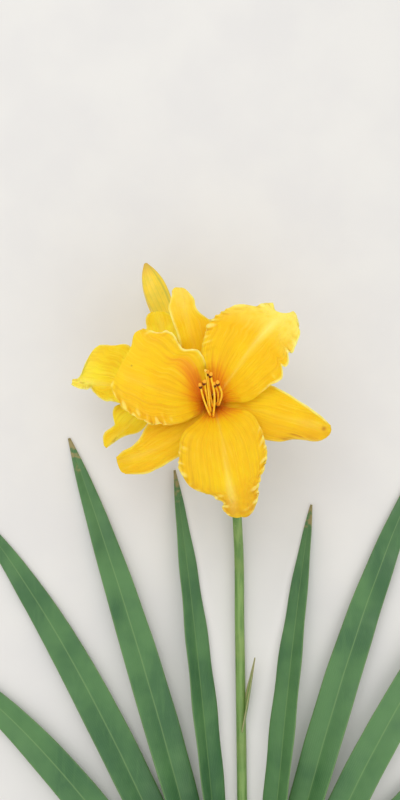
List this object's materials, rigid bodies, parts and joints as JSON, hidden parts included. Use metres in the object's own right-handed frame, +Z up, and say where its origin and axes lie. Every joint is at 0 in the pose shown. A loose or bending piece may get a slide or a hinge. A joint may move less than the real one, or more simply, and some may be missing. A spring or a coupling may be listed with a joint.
{
  "type": "daylily plant",
  "caption": "Cut daylily plant lying on a surface: a fan of strap leaves and a forked flower stem with open yellow ruffled blooms facing up, and buds.",
  "frame": {"origin": "middle of the plant's footprint, on the surface that it lies on", "axes": "+Y from the cut crown along the flower stem to the blooms, +Z up from the surface, the way the blooms face, and +X to the right as seen from above"},
  "size_m": [0.4643, 0.5834, 0.1155],
  "materials": {
    "crown": "matt, pale",
    "scape": "waxy, satin",
    "leaf": "waxy, satin",
    "yellow_bud": "satin",
    "green_bud": "satin",
    "petal": "soft, slightly glistening",
    "stamen": "satin"
  },
  "bodies": {
    "root": {"crown": "crown", "scape": "scape", "leaf_01": "leaf", "leaf_02": "leaf", "leaf_03": "leaf", "leaf_04": "leaf", "leaf_05": "leaf", "leaf_06": "leaf", "leaf_07": "leaf", "leaf_08": "leaf", "leaf_09": "leaf", "large_bud": "yellow_bud", "middle_bud": "green_bud", "small_bud": "green_bud", "tiny_bud": "green_bud", "front_bloom": "petal", "back_bloom": "petal", "front_bloom_stamens": "stamen", "back_bloom_stamens": "stamen"}
  },
  "joints": []
}
